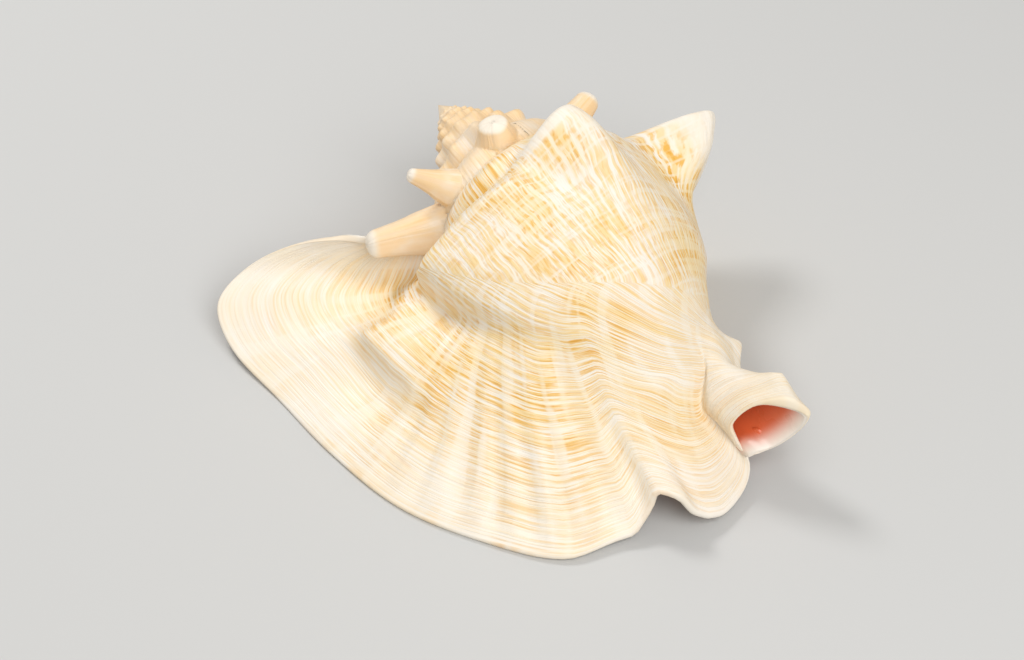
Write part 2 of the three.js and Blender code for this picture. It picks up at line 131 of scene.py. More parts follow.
# The pillar inside the coil: share along it, its middle and its radius
pillar = [
    (0, -107, 0, 49.7, 1), (0.4, -30, 0, 42, 15), (0.6, 10, 2, 35, 13),
    (0.78, 42, 7, 26, 10), (0.9, 64, 13, 19, 7), (1, 84, 17, 14, 3.5),
]
millimetre = 0.001


def smoothKeys(keys):
    # a smooth curve through rows of place and values, in cubic pieces that follow the neighbours
    table = np.array(keys, float)
    places, values = table[:, 0], table[:, 1:]
    last = len(places) - 1
    before = np.maximum(np.arange(last + 1) - 1, 0)
    after = np.minimum(np.arange(last + 1) + 1, last)
    slopes = (values[after] - values[before]) / (places[after] - places[before])[:, None]

    def at(place):
        place = np.asarray(place, float)
        i = np.clip(np.searchsorted(places, place) - 1, 0, last - 1)
        span = (places[i + 1] - places[i])[..., None]
        t = np.clip((place - places[i])[..., None] / span, 0, 1)
        p0, m0, p1, m1 = cubicWeights(t)
        bend = m0 * slopes[i] + m1 * slopes[i + 1]
        return p0 * values[i] + p1 * values[i + 1] + bend * span
    return at


def cubicWeights(t):
    return 2 * t**3 - 3 * t**2 + 1, t**3 - 2 * t**2 + t, 3 * t**2 - 2 * t**3, t**3 - t**2


def near(x, centre, width):
    return np.exp(-(((x - centre) / width) ** 2))


def smoothStep(x, low, high):
    t = np.clip((x - low) / (high - low), 0, 1)
    return t * t * (3 - 2 * t)


outlineAt = smoothKeys(coil["outline"])
lateGrowthAt = smoothKeys(coil["lateGrowth"])
rootAt = smoothKeys(lip["root"])
edgeAt = smoothKeys(lip["edge"])
notchAt = smoothKeys(lip["notch"])
arrivalAt = smoothKeys(lip["arrival"])
shoulderAt = smoothKeys(shoulderLine)


def turnScale(g):
    return coil["turnRatio"] ** (-np.asarray(g, float) / 360)


def around(a, r, angle):
    # distance from the top and radius, turned from straight up towards the lip
    past = np.maximum(0, (a - coil["bendStart"]) / (coil["canalDistance"] - coil["bendStart"]))
    turned = np.radians(angle)
    return np.stack([
        coil["topX"] + a,
        coil["bendReach"] * past**2 - r * np.sin(turned),
        coil["topHeight"] - coil["axisDrop"] * a + r * np.cos(turned),
    ], -1)


def turnPoint(g, v):
    g, v = np.broadcast_arrays(np.asarray(g, float), np.asarray(v, float))
    a, r = np.moveaxis(outlineAt(v), -1, 0)
    ka, kr = np.moveaxis(lateGrowthAt(np.maximum(g, 0)), -1, 0)
    scale = turnScale(np.minimum(g, 0))
    return around(a * ka * scale, r * kr * scale, g)


def wallPoint(h, v):
    # the smooth open wall: h runs from its start inside the shell, 0, to the lip's edge, 1
    h, v = np.broadcast_arrays(np.asarray(h, float), np.asarray(v, float))
    root, lead = np.moveaxis(rootAt(v), -1, 0)
    share = lip["bodyShare"]
    body = turnPoint(lip["wallStart"] + (root - lip["wallStart"]) * np.minimum(h / share, 1), v)
    start = turnPoint(root, v)
    ahead = start - turnPoint(root - 1, v)
    ahead *= (lead / np.linalg.norm(ahead, axis=-1))[..., None]
    p0, m0, p1, m1 = cubicWeights(np.clip((h - share) / (1 - share), 0, 1)[..., None])
    flare = p0 * start + m0 * ahead + p1 * edgeAt(v) + m1 * arrivalAt(v)
    flare += p1 ** lip["notchFade"] * notchAt(v)
    return np.where((h <= share)[..., None], body, flare)


def unit(vectors):
    return vectors / np.maximum(np.linalg.norm(vectors, axis=-1, keepdims=True), 1e-9)


def formFrame(form):
    step = 0.004
    v = form["v"]
    h = form.get("h")
    if h is None:
        h = lip["bodyShare"] * (form["g"] - lip["wallStart"]) / (rootAt(v)[0] - lip["wallStart"])
    growth = unit(wallPoint(h + step, v) - wallPoint(h - step, v))
    line = unit(wallPoint(h, v + step) - wallPoint(h, v - step))
    return wallPoint(h, v), growth, line, np.cross(growth, line)


def withForms(points, h, v, out):
    # raises the shoulder and pushes the wall at every form, but not on the far side of the shell
    farSide, nearSide = -50, -20
    ridgeWidth, hollowWidth, hollowAbove = 0.05, 0.09, 0.13
    shoulder, rise, dip = np.moveaxis(shoulderAt(h), -1, 0)
    raised = rise * near(v, shoulder, ridgeWidth) - dip * near(v, shoulder - hollowAbove, hollowWidth)
    moved = points + out * raised[..., None]
    tips = np.zeros(points.shape[:-1])
    for form in wallForms:
        foot, growth, line, outwards = formFrame(form)
        behind, ahead, up, down = form["reach"]
        offset = points - foot
        # measured along the two directions, which needn't be square to each other
        lean = growth @ line
        first, second = offset @ growth, offset @ line
        grown, along = (first - lean * second) / (1 - lean**2), (second - lean * first) / (1 - lean**2)
        x = np.abs(grown) / np.where(grown > 0, ahead, behind)
        y = np.abs(along) / np.where(along > 0, down, up)
        share = smoothStep(offset @ outwards, farSide, nearSide) * np.exp(-x**form["flat"] - y**form["flat"])
        moved += share[..., None] * np.array(form["push"], float)
        tips = np.maximum(tips, share * form["tip"])
    return moved, tips


def spacedPlaces(count, weight):
    fine = np.linspace(0, 1, 2001)
    total = np.concatenate([[0], np.cumsum(weight((fine[1:] + fine[:-1]) / 2))])
    return np.interp(np.linspace(0, total[-1], count + 1), total, fine)


def shoulderAge(g):
    # length grown along the shoulder, counted from the top of the last turn
    rate = -math.log(coil["turnRatio"]) / 360
    radius = outlineAt(coil["shoulder"])[1]
    turned = np.where(np.asarray(g) > 0, np.asarray(g, float), (turnScale(np.minimum(g, 0)) - 1) / rate)
    return radius * np.radians(turned)


# Every source of the shell keeps what the colours need at its points: the growth line's age and
# the way along it, how far the lip's edge is, and masks
traits = ["age", "along", "place", "edgeAway", "inside", "tip"]
sources = []
farFromEdge = 400  # for what lies nowhere near the lip's edge


def addSource(name, points, faces, **values):
    mesh = bpy.data.meshes.new(name)
    mesh.from_pydata((points * millimetre).tolist(), [], faces)
    mesh.update()
    piece = bpy.data.objects.new(name, mesh)
    bpy.context.scene.collection.objects.link(piece)
    rows = np.stack([np.broadcast_to(values.get(t, 0.0), len(points)) for t in traits], 1)
    sources.append((piece, points * millimetre, rows))
    return piece


def gridFaces(rows, columns, start=0, turned=False):
    i, j = np.meshgrid(np.arange(rows - 1), np.arange(columns - 1), indexing="ij")
    corner = (start + i * columns + j).ravel()
    quads = np.stack([corner, corner + columns, corner + columns + 1, corner + 1], 1)
    return quads[:, ::-1] if turned else quads


wallMesh = {
    "rows": 2 * 165, "columns": 2 * 92, "rimSteps": 5, "knobShares": [0.143, 0.222, 0.375],
    "creasePlace": 0.775, "creaseWidth": 0.03, "creaseLoss": 0.55, "ageSmoothing": 20,
}


def rowDensity(h):
    # rows lie closer at the long knobs, and from just before the lip on
    knobs = sum(0.6 * near(h, share, 0.04) for share in wallMesh["knobShares"])
    return 0.75 + knobs + 0.6 * (h > 0.4)


def columnDensity(v):
    # columns lie closer at the shoulder and round the crease beside the canal
    return 1 + 0.8 * near(v, coil["shoulder"], 0.1) + 0.9 * near(v, 0.75, 0.14)


def ageOnWall(hs, g, away):
    # growth lines lie across the last turn, and swing round on the lip to meet its edge
    root = np.searchsorted(hs, lip["bodyShare"])
    grown = 1 - away / away[root]
    atRoot = shoulderAge(g[root])
    onLip = atRoot + (lip["lastAge"] - atRoot) * grown
    age = np.where(hs[:, None] < lip["bodyShare"], shoulderAge(g), onLip)
    reach = wallMesh["ageSmoothing"]
    window = np.hanning(2 * reach + 1)
    padded = np.pad(age, ((reach, reach), (0, 0)), mode="reflect", reflect_type="odd")
    return np.stack([np.convolve(line, window / window.sum(), "valid") for line in padded.T], 1)


def makeWall():
    rows, columns = wallMesh["rows"], wallMesh["columns"]
    hs = spacedPlaces(rows, rowDensity)
    vs = spacedPlaces(columns, columnDensity)
    h, v = np.meshgrid(hs, vs, indexing="ij")
    smooth = wallPoint(h, v)
    growth = np.gradient(smooth, axis=0)
    line = np.gradient(smooth, axis=1)
    out = unit(np.cross(growth, line))
    wall = lip["turnWall"] + (lip["rimWall"] - lip["turnWall"]) * smoothStep(h, lip["bodyShare"], 1)
    # thinner in the crease beside the canal
    crease = near(v, wallMesh["creasePlace"], wallMesh["creaseWidth"])
    wall *= 1 - wallMesh["creaseLoss"] * crease * smoothStep(h, 0.7, 0.84)
    g = lip["wallStart"] + (rootAt(v)[..., 0] - lip["wallStart"]) * np.minimum(h / lip["bodyShare"], 1)
    tuckSpan = coil["closedEnd"] - lip["wallStart"]
    tuck = lip["tuck"] * np.clip((coil["closedEnd"] - g) / tuckSpan, 0, 1)
    shaped, tips = withForms(smooth, h, v, out)
    outside = shaped - out * tuck[..., None]
    sunk = np.minimum(((shaped - smooth) * out).sum(-1), 0)
    inside = (smooth + out * (sunk - wall - tuck)[..., None])[::2, ::2]

    # the way along a growth line is measured at the lip's edge, and counts less up to the wing's tip
    wingShare = 0.3 + 0.7 * smoothStep(vs[1:], 0.12, 0.28)
    edgeSteps = np.linalg.norm(np.diff(smooth[-1], axis=0), axis=-1) * wingShare
    along = np.tile(np.concatenate([[0], np.cumsum(edgeSteps)]), (rows + 1, 1))
    steps = np.linalg.norm(np.diff(smooth, axis=0), axis=-1)
    away = np.concatenate([np.cumsum(steps[::-1], axis=0)[::-1], np.zeros((1, columns + 1))])
    age = ageOnWall(hs, g, away)

    # the lip's edge is rounded: rows that wrap from the outside to the inside
    edgeOut, edgeIn = outside[-1], (smooth - out * wall[..., None])[-1]
    forward = unit(smooth[-1] - smooth[-3])
    middle, half = (edgeOut + edgeIn) / 2, (edgeOut - edgeIn) / 2
    radius = np.linalg.norm(half, axis=-1, keepdims=True)
    wraps = []
    for k in range(1, wallMesh["rimSteps"] + 1):
        turned = math.pi * k / (wallMesh["rimSteps"] + 1)
        wraps.append(middle + half * math.cos(turned) + forward * radius * 0.7 * math.sin(turned))
    # an even count of rows keeps the two sides in step
    wraps = np.array(wraps + [middle - half * 0.98])
    outside = np.concatenate([outside, wraps])
    extra = len(wraps)
    grow = lambda field: np.concatenate([field, np.repeat(field[-1:], extra, 0)])
    age, along, away, tips, v = grow(age), grow(along), grow(away), grow(tips), grow(v)
    inAge, inAlong, inAway = age[:rows + 1:2, ::2], along[:rows + 1:2, ::2], away[:rows + 1:2, ::2]

    fineRows, fineColumns = outside.shape[:2]
    coarseRows, coarseColumns = inside.shape[:2]
    points = np.concatenate([outside.reshape(-1, 3), inside.reshape(-1, 3)])
    start = fineRows * fineColumns
    faces = gridFaces(fineRows, fineColumns).tolist()
    faces += gridFaces(coarseRows, coarseColumns, start, True).tolist()
    grid = np.arange(start).reshape(fineRows, fineColumns)
    inner = start + np.arange(coarseRows * coarseColumns).reshape(coarseRows, coarseColumns)
    join = lambda fine, coarse: stitch(faces, fine, coarse)
    join(grid[0], inner[0])
    join(grid[:rows + 1, -1], inner[:, -1])
    join(grid[-1, ::-1], inner[-1, ::-1])
    join(grid[rows::-1, 0], inner[::-1, 0])
    for column, corner in ((0, inner[-1, 0]), (fineColumns - 1, inner[-1, -1])):
        side = grid[rows:, column]
        for k in range(len(side) - 1):
            pair = [side[k + 1], side[k]] if column == 0 else [side[k], side[k + 1]]
            faces.append([int(pair[0]), int(pair[1]), int(corner)])
    flat = lambda outer, deep: np.concatenate([outer.ravel(), deep.ravel()])
    # the canal's wall curls in under itself, so past its rim its outside has the inside's deep colour
    curled = smoothStep(v, 0.955, 0.97)
    deepened = away + 20 * curled * smoothStep(away, 2.5, 4.5)
    rim = curled.copy()
    rim[-2:] = 1
    # at the seam the inside has the outside's colour
    inPlace = v[:rows + 1:2, ::2]
    hidden = smoothStep(inPlace, 0.02, 0.08)
    addSource(
        "wall", points, faces, age=flat(age, inAge), along=flat(along, inAlong),
        place=flat(v, inPlace), edgeAway=flat(deepened, inAway),
        tip=flat(tips, np.zeros_like(inAge)), inside=flat(rim, hidden))


def stitch(faces, fine, coarse):
    # joins a row of points to one with half as many steps
    for k in range(len(coarse) - 1):
        a, b, c = (int(fine[2 * k + n]) for n in range(3))
        p, q = int(coarse[k]), int(coarse[k + 1])
        faces.extend([[a, b, p], [b, q, p], [b, c, q]])


def tubeFaces(rings, sides):
    faces = []
    for i in range(rings - 1):
        for j in range(sides):
            a, b = i * sides + j, i * sides + (j + 1) % sides
            faces.append([a, a + sides, b + sides, b])
    faces.append(list(range(sides)))
    faces.append(list(range(rings * sides - 1, (rings - 1) * sides - 1, -1)))
    return faces


def addNode(tree, kind, *values, **settings):
    node = tree.nodes.new(kind)
    for name, value in settings.items():
        setattr(node, name, value)
    for socket, value in zip(node.inputs, values):
        if isinstance(value, bpy.types.NodeSocket):
            tree.links.new(value, socket)
        elif value is not None:
            socket.default_value = value
    return node


def maths(tree, operation, *values):
    return addNode(tree, "ShaderNodeMath", *values, operation=operation).outputs[0]


def product(tree, first, *others):
    for other in others:
        first = maths(tree, "MULTIPLY", first, other)
    return first


def attribute(tree, name):
    node = addNode(tree, "GeometryNodeInputNamedAttribute", name)
    return node.outputs["Attribute"]


def newTree(name, inputs):
    tree = bpy.data.node_groups.new(name, "GeometryNodeTree")
    tree.interface.new_socket("Geometry", in_out="INPUT", socket_type="NodeSocketGeometry")
    for label, value in inputs.items():
        kind = "NodeSocketMaterial" if value is None else "NodeSocketFloat"
        socket = tree.interface.new_socket(label, in_out="INPUT", socket_type=kind)
        if value is not None:
            socket.default_value = value
    tree.interface.new_socket("Geometry", in_out="OUTPUT", socket_type="NodeSocketGeometry")
    return tree, tree.nodes.new("NodeGroupInput"), tree.nodes.new("NodeGroupOutput")


def endTree(tree, group, output, geometry):
    real = addNode(tree, "GeometryNodeRealizeInstances", geometry)
    dressed = addNode(tree, "GeometryNodeSetMaterial", real.outputs[0])
    tree.links.new(group.outputs["Material"], dressed.inputs["Material"])
    tree.links.new(dressed.outputs[0], output.inputs[0])


def bakeTree(piece, tree, **inputs):
    # runs a tree on a piece and keeps the result as its plain mesh
    modifier = piece.modifiers.new("tree", "NODES")
    modifier.node_group = tree
    identifiers = {s.name: s.identifier for s in tree.interface.items_tree if s.in_out == "INPUT"}
    for label, value in inputs.items():
        modifier[identifiers[label]] = value
    evaluated = piece.evaluated_get(bpy.context.evaluated_depsgraph_get())
    mesh = bpy.data.meshes.new_from_object(evaluated)
    piece.modifiers.clear()
    piece.data = mesh
    return mesh


def makeCoilTree():
    # winds a straight template round the axis: each turn is the next one's size times the ratio
    tree, group, output = newTree("turnOfCoil", {
        "First angle": float(coil["knobbedEnd"]), "Last angle": float(coil["closedEnd"]),
        "Turn ratio": coil["turnRatio"], "Bead spacing": float(coil["beadSpacing"]),
        "Bead height": 0.0, "Bead seed": 4.0, "Material": None})
    value = group.outputs
    span = maths(tree, "SUBTRACT", value["Last angle"], value["First angle"])
    angle = maths(tree, "MULTIPLY_ADD", span, attribute(tree, "share"), value["First angle"])
    scale = maths(tree, "POWER", value["Turn ratio"], maths(tree, "DIVIDE", angle, -360.0))
    turned = maths(tree, "RADIANS", angle)
    beadTurns = maths(tree, "DIVIDE", angle, value["Bead spacing"])
    wave = maths(tree, "COSINE", maths(tree, "MULTIPLY", beadTurns, 2 * math.pi))
    noise = addNode(tree, "ShaderNodeTexNoise", noise_dimensions="2D")
    uneven = noise.outputs["Fac"]
    where = addNode(tree, "ShaderNodeCombineXYZ", beadTurns, value["Bead seed"], 0.0)
    tree.links.new(where.outputs[0], noise.inputs["Vector"])
    noise.inputs["Scale"].default_value = 0.7
    rise = product(
        tree, maths(tree, "MULTIPLY_ADD", wave, 0.5, 0.5), value["Bead height"],
        maths(tree, "MULTIPLY_ADD", uneven, 1.2, 0.4))
    swell = maths(tree, "MULTIPLY_ADD", rise, attribute(tree, "beadShare"), 1.0)
    radius = product(tree, attribute(tree, "fromAxis"), scale, swell)
    away = maths(tree, "MULTIPLY", attribute(tree, "fromTop"), scale)
    bendLength = (coil["canalDistance"] - coil["bendStart"]) * millimetre
    past = maths(tree, "DIVIDE", maths(tree, "SUBTRACT", away, coil["bendStart"] * millimetre), bendLength)
    past = maths(tree, "MAXIMUM", past, 0.0)
    bend = product(tree, past, past, coil["bendReach"] * millimetre)
    x = maths(tree, "ADD", away, coil["topX"] * millimetre)
    y = maths(tree, "SUBTRACT", bend, maths(tree, "MULTIPLY", radius, maths(tree, "SINE", turned)))
    high = maths(tree, "MULTIPLY_ADD", away, -coil["axisDrop"], coil["topHeight"] * millimetre)
    z = maths(tree, "MULTIPLY_ADD", radius, maths(tree, "COSINE", turned), high)
    place = addNode(tree, "ShaderNodeCombineXYZ", x, y, z).outputs[0]
    moved = addNode(tree, "GeometryNodeSetPosition", group.outputs["Geometry"], None, place)
    endTree(tree, group, output, moved.outputs[0])
    return tree


coilTree = makeCoilTree()


def makeTurn(first, last, steps, columns, endPlace, beadHeight):
    v = np.linspace(0, endPlace, columns + 1)
    a, r = outlineAt(v).T
    # a thin core closes each slice of the turn near the axis
    coreRadius, coreStart, coreEnd = 0.6, a[0] * 0.96, a[-1] * 1.02
    templateLength = 200
    ringA = np.concatenate([a, [coreEnd, coreStart]])
    ringR = np.concatenate([r, [coreRadius, coreRadius]])
    ringBead = np.concatenate([near(v, coil["shoulder"], 0.09), [0, 0]])
    ringAlong = np.concatenate([[0], np.cumsum(np.hypot(np.diff(a), np.diff(r))), [0, 0]])
    sides, rings = len(ringA), steps + 1
    share = np.repeat(np.linspace(0, 1, rings), sides)
    template = np.stack([share * templateLength, np.tile(ringA, rings), np.tile(ringR, rings)], 1)
    piece = addSource("turn", template, tubeFaces(rings, sides))
    for name, values in {
        "share": share, "fromTop": np.tile(ringA, rings) * millimetre,
        "fromAxis": np.tile(ringR, rings) * millimetre, "beadShare": np.tile(ringBead, rings),
    }.items():
        piece.data.attributes.new(name, "FLOAT", "POINT").data.foreach_set("value", values)
    mesh = bakeTree(piece, coilTree, **{
        "First angle": float(first), "Last angle": float(last), "Bead height": float(beadHeight)})
    g = first + (last - first) * share
    rows = sources[-1][2].copy()
    rows[:, traits.index("age")] = shoulderAge(g)
    rows[:, traits.index("along")] = np.tile(ringAlong, rings) * turnScale(g)
    rows[:, traits.index("edgeAway")] = farFromEdge
    ringInside = np.concatenate([smoothStep(v, 0.8, 0.9), [1, 1]])
    rows[:, traits.index("inside")] = np.tile(ringInside, rings)
    rows[:, traits.index("place")] = np.tile(np.concatenate([v, [0, 0]]), rings)
    sources[-1] = (piece, meshPoints(mesh), rows)


def meshPoints(mesh):
    flat = np.empty(len(mesh.vertices) * 3)
    mesh.vertices.foreach_get("co", flat)
    return flat.reshape(-1, 3)


def makeClosedKnob(number, g, reach, lean, foot, tip):
    # a blunt, slightly uneven cone that stands on the shoulder of a closed turn
    sides, levels = 40, 26
    base = turnPoint(g, coil["shoulder"])
    centre = around(outlineAt(coil["shoulder"])[0] * turnScale(g), 0.0, g)
    out = unit(base - centre)
    start = base - out * foot
    end = base + out * reach + np.array([-lean, 0, 0])
    axis = unit(end - start)
    length = np.linalg.norm(end - start)
    side = unit(np.cross(axis, [1.0, 0, 0]))
    other = np.cross(axis, side)
    # distance from the foot and radius: a flared foot, a waist and a rounded cap
    waistHeight, waist, footSteps = length * 0.6, foot + (tip - foot) * 0.7, 6
    outline = [(0, 0.01), (0, foot)]
    for k in range(1, footSteps):
        risen = smoothStep(k / footSteps, 0, 1.3)
        outline.append((waistHeight * k / footSteps, foot + (waist - foot) * risen))
    outline.append((waistHeight, waist))
    cap = tip * (0.45 if reach < 10 else 0.9)
    for q in np.linspace(0, 1.5, 7):
        outline.append((length - cap + cap * math.sin(q), tip * math.cos(q) ** 0.7))
    outline = np.array(outline)
    fine = np.linspace(0, len(outline) - 1, levels)
    height = np.interp(fine, np.arange(len(outline)), outline[:, 0])
    radius = np.interp(fine, np.arange(len(outline)), outline[:, 1])
    turned = np.linspace(0, 2 * math.pi, sides, endpoint=False)
    bumps = 1 + 0.05 * np.sin(2 * turned + number) + 0.03 * np.sin(3 * turned + 2.1 * number)
    rings = start + height[:, None, None] * axis + (radius[:, None] * bumps)[..., None] * (
        np.cos(turned)[:, None] * side + np.sin(turned)[:, None] * other)
    points = rings.reshape(-1, 3)
    faces = [face[::-1] for face in tubeFaces(levels, sides)]
    share = np.repeat(height / length, sides)
    addSource(
        f"knob{number}", points, faces, age=shoulderAge(g) + np.tile(np.sin(turned), levels) * 8,
        along=np.repeat(height, sides), tip=smoothStep(share, 0.8, 1.05), edgeAway=farFromEdge, place=0.2)


def makePillar():
    steps, sides = 40, 28
    rows = smoothKeys(pillar)(np.linspace(0, 1, steps + 1))
    turned = np.linspace(0, 2 * math.pi, sides, endpoint=False)
    ring = np.stack([np.zeros(sides), np.sin(turned), np.cos(turned)], 1)
    points = (rows[:, None, :3] + rows[:, None, 3:] * ring).reshape(-1, 3)
    faces = [face[::-1] for face in tubeFaces(steps + 1, sides)]
    addSource(
        "pillar", points, faces, age=np.tile(turned * 8, steps + 1),
        along=np.repeat(rows[:, 0], sides), inside=1, edgeAway=200)


def makeTopCone():
    length, radius, sides = 12, 6.7, 24
    turned = np.linspace(0, 2 * math.pi, sides, endpoint=False)
    centre = coil["topHeight"] - coil["axisDrop"] * length * 0.5
    x = np.array([coil["topX"], coil["topX"] + length])
    r = np.array([0.05, radius])
    points = np.stack([
        np.repeat(x, sides), (r[:, None] * np.sin(turned)).ravel(),
        centre + (r[:, None] * np.cos(turned)).ravel()], 1)
    addSource("topCone", points, tubeFaces(2, sides), edgeAway=farFromEdge, age=-130)


def makeSources():
    # the turns overlap by about ten degrees, so that they join into one skin
    makeWall()
    makeTurn(-365, coil["closedEnd"], 90, 60, 1, 0)
    makeTurn(coil["knobbedEnd"], -355, 100, 50, 1, 0)
    stretch, overlap = 345, 12
    last = coil["knobbedEnd"] + overlap
    while last > coil["firstTurn"]:
        steps = int(40 + 90 * turnScale(last - coil["knobbedEnd"]))
        makeTurn(last - stretch, last, steps, 16, coil["seam"], coil["beadHeight"])
        last -= stretch - overlap
    makeTopCone()
    makePillar()
    for number, knob in enumerate(closedKnobs):
        makeClosedKnob(number, *knob)


def turnedOut(piece):
    # makes the piece's faces point outwards, told by the sign of its volume
    mesh = piece.data
    mesh.calc_loop_triangles()
    corners = np.empty(len(mesh.loop_triangles) * 3, int)
    mesh.loop_triangles.foreach_get("vertices", corners)
    a, b, c = meshPoints(mesh)[corners.reshape(-1, 3)].transpose(1, 0, 2)
    if np.einsum("ij,ij->i", a, np.cross(b, c)).sum() < 0:
        mesh.flip_normals()


def joinSources():
    # one closed skin of all sources, cut flat where it stands on the table
    table = bpy.data.meshes.new("table")
    corners = [(x, y, z) for z in (-0.1, 0) for y in (-0.3, 0.3) for x in (-0.3, 0.3)]
    sides = [(0, 2, 3, 1), (4, 5, 7, 6), (0, 1, 5, 4), (2, 6, 7, 3), (0, 4, 6, 2), (1, 3, 7, 5)]
    table.from_pydata(corners, [], sides)
    cutter = bpy.data.objects.new("table", table)
    bpy.context.scene.collection.objects.link(cutter)
    body = sources[0][0]
    for piece, _, _ in sources:
        turnedOut(piece)
    for tool, operation in [(s[0], "UNION") for s in sources[1:]] + [(cutter, "DIFFERENCE")]:
        modifier = body.modifiers.new(tool.name, "BOOLEAN")
        modifier.object = tool
        modifier.operation = operation
        modifier.solver = "MANIFOLD"
    evaluated = body.evaluated_get(bpy.context.evaluated_depsgraph_get())
    mesh = bpy.data.meshes.new_from_object(evaluated)
    body.modifiers.clear()
    shell = bpy.data.objects.new("conchShell", mesh)
    bpy.context.scene.collection.objects.link(shell)
    for piece in [s[0] for s in sources] + [cutter]:
        bpy.data.objects.remove(piece)
    return shell


def keepLargest(mesh):
    # drops the crumbs of air that are sealed between turns
    work = bmesh.new()
    work.from_mesh(mesh)
    seen, groups = set(), []
    for first in work.verts:
        if first in seen:
            continue
        group, queue = [], [first]
        seen.add(first)
        while queue:
            vertex = queue.pop()
            group.append(vertex)
            for edge in vertex.link_edges:
                other = edge.other_vert(vertex)
                if other not in seen:
                    seen.add(other)
                    queue.append(other)
        groups.append(group)
    groups.sort(key=len)
    for group in groups[:-1]:
        bmesh.ops.delete(work, geom=group, context="VERTS")
    bmesh.ops.triangulate(work, faces=work.faces)
    work.to_mesh(mesh)
    work.free()


def nearestIn(tree, points):
    return np.array([tree.find(p)[1:] for p in points.tolist()])


def makeTree(points):
    tree = KDTree(len(points))
    for i, point in enumerate(points.tolist()):
        tree.insert(point, i)
    tree.balance()
    return tree


def storeTraits(mesh):
    # gives every face corner the traits of the source that its face came from
    points = meshPoints(mesh)
    allPoints = np.concatenate([s[1] for s in sources])
    owner = np.concatenate([np.full(len(s[1]), k) for k, s in enumerate(sources)])
    rows = np.concatenate([s[2] for s in sources])
    everything = makeTree(allPoints)
    found = nearestIn(everything, points)
    index, distance = found[:, 0].astype(int), found[:, 1]
    sameSpot = 2e-6
    exact = distance < sameSpot
    vertexOwner = np.where(exact, owner[index], -1)
    loops = np.empty(len(mesh.loops), int)
    mesh.loops.foreach_get("vertex_index", loops)
    triangles = loops.reshape(-1, 3)
    faceOwner = vertexOwner[triangles].max(1)
    unsure = faceOwner < 0
    centres = points[triangles[unsure]].mean(1)
    if len(centres):
        faceOwner[unsure] = owner[nearestIn(everything, centres)[:, 0].astype(int)]
    values = rows[index][triangles]
    wrong = owner[index][triangles] != faceOwner[:, None]
    starts = np.cumsum([0] + [len(s[1]) for s in sources])
    for k in range(len(sources)):
        corners = np.argwhere(wrong & (faceOwner == k)[:, None])
        if not len(corners):
            continue
        tree = makeTree(sources[k][1])
        where = points[triangles[corners[:, 0], corners[:, 1]]]
        nearest = nearestIn(tree, where)[:, 0].astype(int) + starts[k]
        values[corners[:, 0], corners[:, 1]] = rows[nearest]
    for n, name in enumerate(traits):
        layer = mesh.attributes.new(name, "FLOAT", "CORNER")
        layer.data.foreach_set("value", values[:, :, n].ravel())


relief = {
    "ribSpacing": 11.0, "ribHeight": 0.3, "wrinkleSpacing": 4.2, "wrinkleHeight": 0.22,
    "foldSpacing": 17.0, "foldHeight": 4.2, "foldWidth": 44.0, "seed": 7.0,
    "ribLength": 60.0, "wrinkleLength": 22.0, "swayLength": 40.0, "sway": 14.0,
    # ranges of the place along a growth line
    "smoothBody": (0.3, 0.55), "foldsStart": (0.36, 0.5), "foldsEnd": (0.6, 0.655),
    # a range of distance from the edge in millimetres, and one of height above the table in metres
    "inland": (0.0, 7.0), "clearOfTable": (0.0005, 0.011),
}


def noiseField(tree, scale, detail, *place):
    where = addNode(tree, "ShaderNodeCombineXYZ", *place).outputs[0]
    node = addNode(tree, "ShaderNodeTexNoise", where)
    node.inputs["Scale"].default_value = scale
    node.inputs["Detail"].default_value = detail
    return maths(tree, "SUBTRACT", node.outputs["Fac"], 0.5)


def faded(tree, value, limits, start=0.0, end=1.0):
    return addNode(tree, "ShaderNodeMapRange", value, *limits, start, end).outputs[0]


